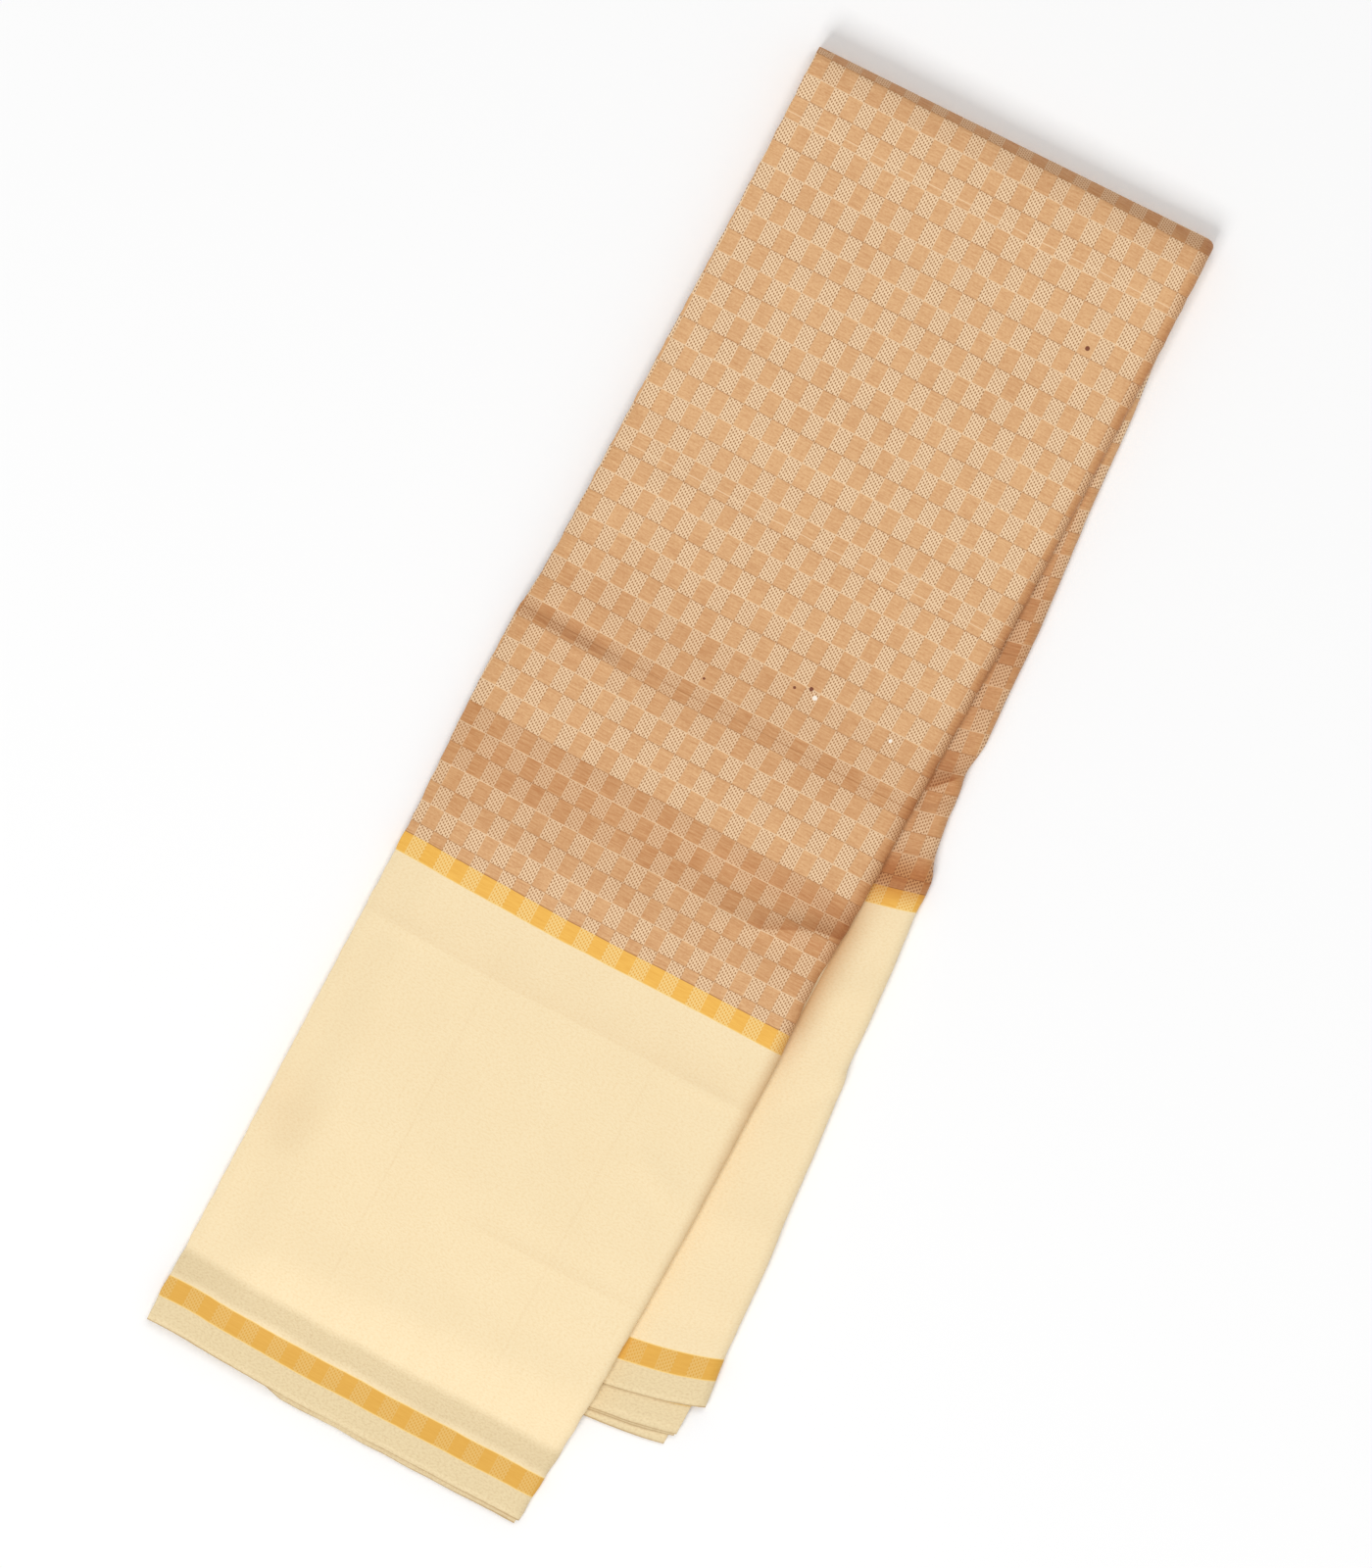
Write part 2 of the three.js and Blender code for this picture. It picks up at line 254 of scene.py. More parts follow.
def folded_section(left, right, low, high, depth, face, back, roll=15):
    """Line round a run: outermost face to the right, half an ellipse round the fold, inner face back.

    low and high give the heights of the two faces at x. At the left each face turns in by a small half
    circle and lies back under itself. Gives x, height and the distance across the cloth, row by row.
    """
    start = left + FOLD_BEND
    fold = right - depth
    face_x = start + face * (fold - start)
    back_x = start + back[::-1] * (fold - start)
    angle = np.linspace(np.pi / 2, -np.pi / 2, roll + 2)[1:-1]
    roll_x = fold + depth * np.cos(angle)
    roll_height = (low(fold) + high(fold) + (high(fold) - low(fold)) * np.sin(angle)) / 2
    turned_in = start + TURNED_IN * np.array([1, 0.5, 0.15])
    half_circle = np.linspace(-np.pi / 2, np.pi / 2, 8)[:-1]
    bend_x = start - FOLD_BEND * np.cos(half_circle)
    bend_rise = FOLD_BEND * (1 + np.sin(half_circle))
    x = np.hstack([turned_in, bend_x, face_x, roll_x, back_x, bend_x[:, ::-1], turned_in[:, ::-1]])
    height = np.hstack([
        high(turned_in) - 2 * FOLD_BEND,
        high(start) - 2 * FOLD_BEND + bend_rise,
        high(face_x),
        roll_height,
        low(back_x),
        low(start) + 2 * FOLD_BEND - bend_rise[::-1],
        low(turned_in[:, ::-1]) + 2 * FOLD_BEND,
    ])
    steps = np.hypot(np.diff(x, axis=1), np.diff(height, axis=1))
    gone = np.hstack([np.zeros((len(x), 1)), np.cumsum(steps, axis=1)])
    first = turned_in.shape[1] + bend_x.shape[1]
    last = first + len(face) - 1
    column = np.arange(x.shape[1])
    before = start + gone - gone[:, [first]]
    after = fold + gone - gone[:, [last]]
    across = np.where(column < first, before, np.where(column > last, after, x))
    return x, height, across


def in_frame(x, down, z):
    """Millimetres on the strip to metres in the frame."""
    frame_x = cad_high[0] + MM * (x - STRIP_RIGHT)
    frame_y = cad_high[1] + MM * (STRIP_TOP - down)
    return np.stack([frame_x, frame_y, MM * z], axis=-1).reshape(-1, 3)


def grid_faces(rows, columns, closed=False):
    """Four-sided faces of a grid of points, row by row; closed joins its last column to its first."""
    faces_across = columns if closed else columns - 1
    row, column = np.meshgrid(np.arange(rows - 1), np.arange(faces_across), indexing="ij")
    beside = (column + 1) % columns
    here, after = row * columns, (row + 1) * columns
    corners = [here + column, after + column, after + beside, here + beside]
    return np.stack(corners, axis=-1).reshape(-1, 4)


def new_mesh(name, points, faces, across, from_hem, ends=()):
    """A smooth mesh with flat end faces, and the cloth's own coordinates as the UV map Weave.

    Those are millimetres across the cloth and from its selvedge, each with a long and a short soft wander,
    because threads are never quite straight.
    """
    mesh = bpy.data.meshes.new(name)
    mesh.from_pydata(points.tolist(), [], faces.tolist() + [list(end) for end in ends])
    smooth = np.arange(len(mesh.polygons)) < len(faces)
    mesh.polygons.foreach_set("use_smooth", smooth)
    wander_across = 0.45 * ripple(across, from_hem, 60, 51) + 0.12 * ripple(across, from_hem, 17, 52)
    wander_along = 0.55 * ripple(across, from_hem, 75, 53) + 0.15 * ripple(across, from_hem, 19, 54)
    weave = np.stack([across + wander_across, from_hem + wander_along], axis=-1).reshape(-1, 2)
    corners = np.empty(len(mesh.loops), dtype=np.int32)
    mesh.loops.foreach_get("vertex_index", corners)
    mesh.uv_layers.new(name="Weave").data.foreach_set("uv", weave[corners].ravel())
    mesh.update()
    piece = bpy.data.objects.new(name, mesh)
    bpy.context.scene.collection.objects.link(piece)
    return piece


def make_silk_shell(piece):
    """Gives a sheet its thickness, inwards from the face that shows."""
    wall = piece.modifiers.new("Silk", "SOLIDIFY")
    wall.thickness = SILK * MM
    wall.offset = -1
    wall.use_even_offset = False


# Distance from the selvedge to the crease of the turn, which lies between two rows of checks
CREASE_FROM_HEM = 614.7


def from_selvedge(x, down):
    """Distance along the cloth from its selvedge to a place on the upper run, with the grain's sway."""
    hem = hem_line(x)
    moved = down - np.interp(down, sway_down, sway_along) * soft(down - turn_line(x), 0, 12)
    return CREASE_FROM_HEM * (hem - moved) / (hem - turn_line(x))


face_columns = np.concatenate([[0, 0.004, 0.01, 0.02], np.linspace(0.034, 0.97, 66), [0.98, 0.99, 1]])
back_columns = np.linspace(0, 1, 22)
upper_along = np.linspace(1, 0, 214)[:, None]
TURN_ROWS = 27
turn_angles = np.linspace(0, np.pi, TURN_ROWS)[1:, None]

run_left, run_right = upper_edges(LOWER_AXIS + upper_along * (UPPER_END - LOWER_AXIS))
turn_left, turn_right = 0 * turn_angles + run_left[-1], 0 * turn_angles + run_right[-1]
run_x, run_height, run_across = folded_section(
    run_left, run_right, np.zeros_like, lambda x: upper_thickness(x, upper_down_at(upper_along, x)),
    ROLL_DEPTH, face_columns, back_columns)
turn_x, turn_height, turn_across = folded_section(
    turn_left, turn_right, np.zeros_like, lambda x: np.full_like(x, RUN_THICKNESS),
    ROLL_DEPTH, face_columns, back_columns)

run_points = upper_place(upper_along, run_x, run_height)
turn_points = turn_place(turn_angles, turn_x, turn_height)
upper_x, upper_y, upper_z = (np.vstack([a, b]) for a, b in zip(run_points, turn_points))
run_down = upper_down_at(upper_along, run_x)
run_from_hem = from_selvedge(run_x, run_down)
run_across = run_across - np.interp(run_down, sway_down, sway_right)
turn_across = turn_across - sway_right[0]
turn_steps = np.hypot(np.diff(upper_y[-TURN_ROWS:], axis=0), np.diff(upper_z[-TURN_ROWS:], axis=0))
turn_from_hem = run_from_hem[-1] + np.cumsum(turn_steps, axis=0)

upper_cloth = new_mesh(
    "upper_cloth",
    in_frame(upper_x, upper_y, upper_z),
    grid_faces(*upper_x.shape)[:, ::-1],
    np.vstack([run_across, turn_across]),
    np.vstack([run_from_hem, turn_from_hem]),
)
make_silk_shell(upper_cloth)


def add_node(tree, kind, **settings):
    """Adds a shader node and sets its plain properties by name."""
    node = tree.nodes.new(kind)
    for setting, value in settings.items():
        setattr(node, setting, value)
    return node


def feed(tree, socket, value):
    """Links an output to a socket, or sets the socket to a plain value."""
    if isinstance(value, bpy.types.NodeSocket):
        tree.links.new(value, socket)
    else:
        socket.default_value = value


def work(tree, operation, *values):
    """One Math node's result."""
    node = add_node(tree, "ShaderNodeMath", operation=operation)
    for socket, value in zip(node.inputs, values):
        feed(tree, socket, value)
    return node.outputs[0]


def product(tree, *values):
    """All the values multiplied together."""
    total = values[0]
    for value in values[1:]:
        total = work(tree, "MULTIPLY", total, value)
    return total


def between(tree, value, low, high, edge=0.12):
    """1 where low < value < high and 0 elsewhere, with edges a little soft."""
    sides = []
    for place, start, end in ((low, 0, 1), (high, 1, 0)):
        side = add_node(tree, "ShaderNodeMapRange")
        feed(tree, side.inputs["Value"], value)
        side.inputs["From Min"].default_value = place - edge
        side.inputs["From Max"].default_value = place + edge
        side.inputs["To Min"].default_value = start
        side.inputs["To Max"].default_value = end
        sides.append(side.outputs[0])
    return product(tree, *sides)


def paint(tree, share, under, over, blend="MIX"):
    """Lays one colour over another by a share from 0 to 1."""
    node = add_node(tree, "ShaderNodeMix", data_type="RGBA", blend_type=blend)
    feed(tree, node.inputs[0], share)
    feed(tree, node.inputs[6], under)
    feed(tree, node.inputs[7], over)
    return node.outputs[2]


def dye(red, green, blue):
    """A dye named by its red, green and blue out of 255, as the shader's linear colour."""
    return tuple(((part / 255 + 0.055) / 1.055) ** 2.4 for part in (red, green, blue)) + (1,)


def grain(tree, across, along, wide, tall, seed, detail=2.0):
    """Soft noise from 0 to 1 whose blots are wide by tall millimetres on the cloth."""
    place = add_node(tree, "ShaderNodeCombineXYZ")
    feed(tree, place.inputs[0], work(tree, "DIVIDE", across, wide))
    feed(tree, place.inputs[1], work(tree, "DIVIDE", along, tall))
    place.inputs[2].default_value = seed
    noise = add_node(tree, "ShaderNodeTexNoise")
    noise.inputs["Scale"].default_value = 1.0
    noise.inputs["Detail"].default_value = detail
    tree.links.new(place.outputs[0], noise.inputs["Vector"])
    return noise.outputs[0]


# The weave, in millimetres from the selvedge: strip, gold band, ribs, plain border, gold band, checks; then
# the pitch of rows, cells, threads, gaps and ribs, and the part of a pitch that each one fills
LOW_BAND = (11.5, 21.2)
RIBBED_ZONE = (22.6, 34.0)
HIGH_BAND = (228.0, 236.9)
FIRST_ROW = 242.5
CLOSE_ROWS, CLOSE_PITCH, OPEN_PITCH = 6, 9.58, 10.49
CELL_PAIR, CELL_START, SOLID_SHARE, COLUMN_LEAN = 13.65, 5.3, 0.49, 0.0038
THREAD_PITCH, DASH_PITCH, DASH_STEP = 1.0, 1.8, 0.36
THREAD_SPAN, DASH_SPAN = (0.2, 0.68), (0.1, 0.62)
BETWEEN_SEAMS = (0.018, 0.982)
RIB_PITCH, RIB_SPAN = 0.62, (0.1, 0.6)

# Blots of the silk's unevenness, in millimetres across and along the cloth
STREAK = (8.0, 0.8)
FINE = (1.3, 0.8)
STIPPLE = (1.5, 2.0)
BROAD = (30, 36)
SEAM_PATCH = (40, 6)

# Rows of checks that are darker than the rest, counted from the border: first row, last row and how much
row_tints_and_shade = [
    (-1, -1, 0.15), (0, 0, 0.12), (1, 2, 0.28), (3, 5, 0.5), (6, 8, 0.12), (9, 9, 0.25), (10, 10, 0.48),
    # Rows 35 to 37, at the turn, are painted shade where the cloth rolls away from the light; the rest are
    # the silk's own tone
    (11, 12, 0.26), (13, 14, 0.12), (15, 19, 0.06), (35, 35, 0.15), (36, 36, 0.6), (37, 37, 0.3),
]

# Painted shade where folds and the upper run's rolled right edge turn from the light: middle across and
# from the selvedge, reach across and along, and depth
painted_shade_places = [
    (170, 293, 60, 10, 0.25),
    (12, 347, 62, 7, 0.2),
    (14, 108, 22, 26, 0.11),
    (191, 420, 11, 400, 0.9),
]

# Painted shade along one side of each crease: across and from the selvedge at both ends, then reach and
# depth
painted_crease_shade = [
    (148, 268, 176, 281.3, 13, 0.5),
    (170, 280.8, 196, 284.4, 18, 0.7),
    (-8, 344, 48, 343.5, 6, 0.45),
    (-40, 199.6, 230, 199.6, 34, 0.08),
    (63.2, -10, 63.2, 235, 1.6, 0.09),
    (143.4, -10, 143.4, 235, 1.6, 0.08),
    (96, 102, 192, 102.6, 10, 0.06),
]

CREAM = dye(250, 230, 189)
CREAM_SHADE = dye(239, 211, 163)
SELVEDGE = dye(235, 214, 170)
RIBS = dye(229, 209, 167)
HEM_BROWN = dye(178, 138, 86)
GOLD = dye(253, 199, 94)
GOLD_DARK = dye(228, 165, 62)
GOLD_DULL = dye(210, 158, 64)
GOLD_LINE = dye(250, 212, 126)
GOLD_THREAD = dye(246, 206, 128)
TAN = dye(229, 182, 131)
TAN_DARK = dye(188, 126, 74)
THREAD = dye(250, 217, 176)
THREAD_GREY = dye(206, 166, 122)
THREAD_SHADE = dye(160, 114, 72)
ROW_DARK = dye(168, 110, 60)
SHADE_TINT = dye(206, 164, 118)
SPECK = dye(110, 38, 8)
KNOT = dye(255, 246, 232)


def row_places(tree, d):
    """Which row of checks a place is in, how far up in it that is, and 1 where the row is odd."""
    beyond = work(tree, "SUBTRACT", d, FIRST_ROW)
    close = work(tree, "DIVIDE", work(tree, "MINIMUM", beyond, CLOSE_ROWS * CLOSE_PITCH), CLOSE_PITCH)
    past_close = work(tree, "MAXIMUM", work(tree, "SUBTRACT", beyond, CLOSE_ROWS * CLOSE_PITCH), 0)
    row = work(tree, "ADD", close, work(tree, "DIVIDE", past_close, OPEN_PITCH))
    index = work(tree, "MAXIMUM", work(tree, "FLOOR", row), -1)
    in_row = work(tree, "SUBTRACT", row, index)
    odd = work(tree, "FLOORED_MODULO", index, 2)
    return index, in_row, odd


def solid_cells(tree, u, d, odd, in_low_band):
    """1 in a solid cell and 0 in a lined one: cells alternate across, and from row to row."""
    past_first_row = work(tree, "MAXIMUM", work(tree, "SUBTRACT", d, FIRST_ROW), 0)
    lean = work(tree, "MULTIPLY", past_first_row, COLUMN_LEAN)
    place = work(tree, "SUBTRACT", work(tree, "SUBTRACT", u, CELL_START), lean)
    shift = product(tree, odd, 0.5, work(tree, "SUBTRACT", 1, in_low_band))
    phase = work(tree, "FRACT", work(tree, "ADD", work(tree, "DIVIDE", place, CELL_PAIR), shift))
    return between(tree, phase, 0.004, SOLID_SHARE, 0.006)


def share_beside(tree, u, d, fold):
    """Painted shade beside a crease: its depth at the line, falling to 0 a reach to its left, fading at
    both ends.
    """
    u_start, d_start, u_end, d_end, reach, depth = fold
    length = math.hypot(u_end - u_start, d_end - d_start)
    right, up = (u_end - u_start) / length, (d_end - d_start) / length
    off_u, off_d = work(tree, "SUBTRACT", u, u_start), work(tree, "SUBTRACT", d, d_start)
    along = work(tree, "ADD", work(tree, "MULTIPLY", off_u, right), work(tree, "MULTIPLY", off_d, up))
    aside = work(tree, "SUBTRACT", work(tree, "MULTIPLY", off_d, right), work(tree, "MULTIPLY", off_u, up))
    inside = between(tree, along, 0.15 * length, 0.9 * length, 0.15 * length)
    beside = between(tree, aside, 0, 2 * reach, 0.35)
    fading = work(tree, "MAXIMUM", work(tree, "MULTIPLY_ADD", aside, -1 / reach, 1), 0)
    return product(tree, inside, beside, fading, fading, depth)


def saree_silk(name, ribbed_share=1.0, shade_places=(), crease_shades=(), specks=(), knots=()):
    """Woven silk from the Weave map: tan and cream checks, gold check bands, plain cream borders, and any
    painted shade given.
    """
    material = bpy.data.materials.new(name)
    material.use_nodes = True
    tree = material.node_tree
    shader = tree.nodes["Principled BSDF"]
    shader.inputs["Specular IOR Level"].default_value = 0.3
    shader.inputs["Sheen Weight"].default_value = 0.1
    shader.inputs["Sheen Roughness"].default_value = 0.4
    shader.inputs["Sheen Tint"].default_value = CREAM

    weave = add_node(tree, "ShaderNodeUVMap", uv_map="Weave")
    parts = add_node(tree, "ShaderNodeSeparateXYZ")
    tree.links.new(weave.outputs[0], parts.inputs[0])
    u, d = parts.outputs[0], parts.outputs[1]
    index, in_row, odd = row_places(tree, d)
    in_low_band = work(tree, "LESS_THAN", d, HIGH_BAND[0] / 2)
    solid = solid_cells(tree, u, d, odd, in_low_band)
    streak = grain(tree, u, d, *STREAK, 3.0)
    fine = grain(tree, u, d, *FINE, 4.0)
    stipple = grain(tree, u, d, *STIPPLE, 8.0)
    broad = grain(tree, u, d, *BROAD, 6.0, 3.0)

    # Lined cells: cream threads along the strip, with short dark gaps that step from thread to thread
    thread = work(tree, "DIVIDE", u, THREAD_PITCH)
    on_thread = between(tree, work(tree, "FRACT", thread), *THREAD_SPAN, 0.08)
    stepped = work(tree, "MULTIPLY", work(tree, "FLOOR", work(tree, "SUBTRACT", thread, 0.44)), DASH_STEP)
    dash_place = work(tree, "FRACT", work(tree, "ADD", work(tree, "DIVIDE", d, DASH_PITCH), stepped))
    dash = between(tree, dash_place, *DASH_SPAN, 0.06)
    gap = work(tree, "MULTIPLY", work(tree, "SUBTRACT", 1, on_thread), dash)
    uneven = work(tree, "MULTIPLY_ADD", stipple, 3.0, -1.45)
    lined = paint(tree, work(tree, "MULTIPLY", uneven, 0.5), THREAD, THREAD_GREY)
    lined = paint(tree, gap, lined, THREAD_SHADE)

    # Solid cells: tan, streaked across, darker in some rows; at the turn that darkening is painted shade
    darker = 0.12
    for first_row, last_row, depth in row_tints_and_shade:
        here = between(tree, index, first_row - 0.5, last_row + 0.5)
        darker = work(tree, "MULTIPLY_ADD", here, depth, darker)
    tone = work(tree, "ADD", darker, work(tree, "MULTIPLY_ADD", streak, 1.3, -0.65))
    tone = work(tree, "ADD", tone, work(tree, "MULTIPLY_ADD", broad, 0.5, -0.25))
    tone = work(tree, "MINIMUM", work(tree, "MAXIMUM", tone, 0), 1)
    tan = paint(tree, tone, TAN, TAN_DARK)
    tan = paint(tree, work(tree, "MULTIPLY_ADD", fine, 1.3, -0.53), tan, TAN_DARK)
    lined = paint(tree, work(tree, "MULTIPLY", darker, 0.7), lined, TAN_DARK)
    checks = paint(tree, solid, lined, tan)

    # A line of one thread between rows, cream over even rows and dark over odd ones, fading in and out
    seam = work(tree, "SUBTRACT", 1, between(tree, in_row, *BETWEEN_SEAMS, 0.012))
    in_patch = between(tree, grain(tree, u, d, *SEAM_PATCH, 5.0, 1.0), 0.26, 2.0, 0.1)
    seam = work(tree, "MULTIPLY", seam, in_patch)
    dark_seam = work(tree, "ABSOLUTE", work(tree, "SUBTRACT", odd, work(tree, "LESS_THAN", in_row, 0.5)))
    seam = work(tree, "MULTIPLY", seam, work(tree, "MULTIPLY_ADD", dark_seam, -0.25, 0.75))
    checks = paint(tree, seam, checks, paint(tree, dark_seam, THREAD, ROW_DARK))
    # Three rows have one more line of one thread, at a height in the row
    for lined_row, line_colour, height in ((33, THREAD, 0.3), (18, THREAD, 0.36), (10, ROW_DARK, 0.46)):
        here = work(tree, "COMPARE", index, lined_row, 0.4)
        line = between(tree, in_row, height - 0.02, height + 0.02, 0.012)
        checks = paint(tree, product(tree, here, line, 0.6), checks, line_colour)

    # Gold bands: the same cells, gold or lined with cream
    gold = paint(tree, streak, GOLD, GOLD_DARK)
    gold_lined = paint(tree, gap, GOLD_THREAD, GOLD_DARK)
    band = paint(tree, solid, gold_lined, gold)
    band = paint(tree, work(tree, "MULTIPLY", in_low_band, 0.5), band, GOLD_DULL)

    # Plain border: fine ribs along the strip and soft mottling, greyer in the ribbed zone and the strip
    rib = between(tree, work(tree, "FRACT", work(tree, "DIVIDE", u, RIB_PITCH)), *RIB_SPAN, 0.15)
    mottle = work(tree, "MULTIPLY_ADD", fine, 2.2, -0.92)
    plain = paint(tree, work(tree, "MULTIPLY", broad, 0.35), CREAM, CREAM_SHADE)
    plain = paint(tree, work(tree, "MULTIPLY", rib, 0.12), plain, CREAM_SHADE)
    plain = paint(tree, mottle, plain, CREAM_SHADE)
    ribbed = paint(tree, work(tree, "MULTIPLY", rib, 0.35), RIBS, CREAM_SHADE)
    ribbed = paint(tree, work(tree, "MULTIPLY", mottle, 0.4), ribbed, HEM_BROWN)
    strip = paint(tree, work(tree, "MULTIPLY", mottle, 0.4), SELVEDGE, HEM_BROWN)
    # A dark line at the selvedge's very edge: partly its brown threads, partly painted shade
    strip = paint(tree, work(tree, "MULTIPLY", between(tree, d, -1, 0.3, 0.15), 0.55), strip, HEM_BROWN)

    wandering = work(tree, "MULTIPLY_ADD", broad, 5.0, work(tree, "SUBTRACT", d, 2.5))
    ribs_here = between(tree, wandering, *RIBBED_ZONE, 2.0)
    bands_here = work(tree, "ADD", between(tree, d, *LOW_BAND), between(tree, d, *HIGH_BAND))
    checks_here = work(tree, "GREATER_THAN", d, HIGH_BAND[1])
    colour = paint(tree, work(tree, "MULTIPLY", ribs_here, ribbed_share), plain, ribbed)
    colour = paint(tree, work(tree, "LESS_THAN", d, LOW_BAND[0]), colour, strip)
    colour = paint(tree, bands_here, colour, band)
    for band_edge in (*LOW_BAND, HIGH_BAND[0]):
        line = between(tree, d, band_edge - 0.2, band_edge + 0.3, 0.1)
        colour = paint(tree, work(tree, "MULTIPLY", line, 0.65), colour, GOLD_LINE)
    colour = paint(tree, checks_here, colour, checks)
    first_line = between(tree, d, HIGH_BAND[1] - 0.1, HIGH_BAND[1] + 0.35, 0.1)
    colour = paint(tree, product(tree, first_line, solid, 0.8), colour, ROW_DARK)

    # Painted shade: soft darker places, and shade along one side of each crease
    for middle_u, middle_d, reach_u, reach_d, depth in shade_places:
        off_u = work(tree, "POWER", work(tree, "DIVIDE", work(tree, "SUBTRACT", u, middle_u), reach_u), 2)
        off_d = work(tree, "POWER", work(tree, "DIVIDE", work(tree, "SUBTRACT", d, middle_d), reach_d), 2)
        near = work(tree, "MAXIMUM", work(tree, "SUBTRACT", 1, work(tree, "ADD", off_u, off_d)), 0)
        colour = paint(tree, product(tree, near, near, depth), colour, SHADE_TINT, "MULTIPLY")
    for fold in crease_shades:
        colour = paint(tree, share_beside(tree, u, d, fold), colour, SHADE_TINT, "MULTIPLY")

    # Small marks on the cloth: reddish specks and pale knots
    for marks, mark_colour in ((specks, SPECK), (knots, KNOT)):
        for mark_u, mark_d, size in marks:
            off_u = work(tree, "POWER", work(tree, "SUBTRACT", u, mark_u), 2)
            off_d = work(tree, "POWER", work(tree, "SUBTRACT", d, mark_d), 2)
            away = work(tree, "SQRT", work(tree, "ADD", off_u, off_d))
            mark = work(tree, "LESS_THAN", work(tree, "MULTIPLY_ADD", fine, 0.4, away), size)
            colour = paint(tree, work(tree, "MULTIPLY", mark, 0.9), colour, mark_colour)
    tree.links.new(colour, shader.inputs["Base Color"])

    # Relief: cream threads float over the ground, the ribs stand a little, and the silk is finely uneven
    off_gap, off_solid = work(tree, "SUBTRACT", 1, gap), work(tree, "SUBTRACT", 1, solid)
    floats = product(tree, off_gap, off_solid, checks_here, 0.8)
    ribs = product(tree, rib, work(tree, "MULTIPLY_ADD", ribs_here, 0.5, 0.15), 0.6)
    relief = work(tree, "MULTIPLY_ADD", fine, 0.5, work(tree, "ADD", floats, ribs))
    bump = add_node(tree, "ShaderNodeBump")
    bump.inputs["Strength"].default_value = 0.8
    bump.inputs["Distance"].default_value = 0.00012
    tree.links.new(relief, bump.inputs["Height"])
    tree.links.new(bump.outputs[0], shader.inputs["Normal"])
    gloss = work(tree, "MULTIPLY_ADD", solid, -0.06, 0.56)
    tree.links.new(work(tree, "MULTIPLY_ADD", fine, 0.1, gloss), shader.inputs["Roughness"])
    return material


upper_cloth.data.materials.append(saree_silk(
    "upper silk",
    shade_places=painted_shade_places,
    crease_shades=painted_crease_shade,
    specks=[(160.3, 555.4, 1.25), (124.1, 373.4, 1.15), (117.5, 370.5, 0.85), (81.9, 356.3, 0.8)],
    knots=[(127.3, 370.8, 1.25), (164.7, 369.5, 1.0)],
))
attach(upper_cloth, "root")
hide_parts("upper_stretch", "turn_stretch")

# Cloth of the lower run
# The same outermost layer past the turn: its inner face shows at the right of the upper run, it goes round
# the fold at its right edge, and its other face lies flat on the surface.

LOWER_TOP_RIGHT = 1.4

# Right edge of the lower run at distances down it
lower_down = np.array([
    1.4, 49, 61, 79, 104, 122, 138, 160, 179, 210, 232, 246, 255, 268, 278,
    286, 292, 301, 309, 335, 365, 383, 385, 398, 421, 452, 472, 515, 538.8])
lower_right = np.array([
    189.4, 190.3, 191.4, 193.3, 194.8, 196.0, 197.5, 199.4, 201.1, 202.3, 203.6, 201.6, 203.6, 204.4, 205.9,
    207.4, 210.5, 211.3, 211.0, 213.7, 215.8, 216.4, 218.0, 218.9, 221.2, 223.5, 225.8, 228.1, 230.9])

# Where the weave's bands lie: distances up the right edge from its end, and the weave's own distances
band_places = np.array([-2, 0, 12.1, 22.2, 230, 238.5, 546])
band_weave = np.array([-2, 0, 11.5, 21.2, 228, 236.9, 544])

# Creases of the lower run: a slanting one from under the upper run out to the bulge, and softer ones
lower_creases = [
    ((180, 266), (206, 243), 1.5, 2.6),
    ((184, 271), (210, 249), -1.5, 2.6),
    ((194, 298), (213, 272), 0.8, 4.0),
    ((182, 300), (214, 292), -0.8, 2.8),
    ((190, 360), (216, 345), 0.6, 8.0),
    ((196, 420), (222, 384), -0.6, 3.5),
    ((190, 470), (226, 455), 0.5, 9.0),
    ((192, 180), (201, 160), 0.5, 7.0),
]


# The weave where it shows: x and lean of a line between two columns of checks, how many pairs of cells it
# is from the first, how much the rows tilt and over what reach, and how far past the right edge that begins
COLUMN_LINE, COLUMN_LINE_LEAN, PAIRS_TO_LINE = 179.1, 0.097, 14
ROW_TILT, TILT_REACH = 0.23, 40.0
PAST_EDGE = 4.4


def lower_right_down(along):
    """Place down the strip of a row's right end: along goes from 0 at the turn to 1 at the selvedge."""
    return LOWER_TOP_RIGHT + along * (LOWER_END_RIGHT - LOWER_TOP_RIGHT)


def lower_fall(along):
    """How much further down the left end of a row lies than its right end."""
    return TURN_RISE + along * (LOWER_END_LEFT - LOWER_END_RIGHT - TURN_RISE)


def lower_bow(share, along):
    """How far up a row has come at a share of the way across: straight at the turn, bowed near its end."""
    return share + 0.45 * along * (share ** 6 - share)


def lower_row_edges(along):
    """Left and right edge of a row of the lower run."""
    down = lower_right_down(along)
    uneven = 0.3 * ripple(down, 0 * down, 13, 12) * soft(along, 0, 0.05)
    left = lower_left(down + lower_fall(along)) + uneven
    right = eased(down, lower_down, lower_right, 2.5) + 0.18 * ripple(down, 0 * down, 7, 13)
    return left, right


def lower_row_down(along, x):
    """Place down the strip of a point on a row of the lower run."""
    left, right = lower_row_edges(along)
    share = np.clip((x - left) / (right - left), 0, 1)
    ragged = soft(along, 0.96, 1) * (0.4 * ripple(x, 0 * x, 21, 14) + 0.15 * ripple(x, 0 * x, 5, 15))
    return lower_right_down(along) + lower_fall(along) * (1 - lower_bow(share, along)) + ragged


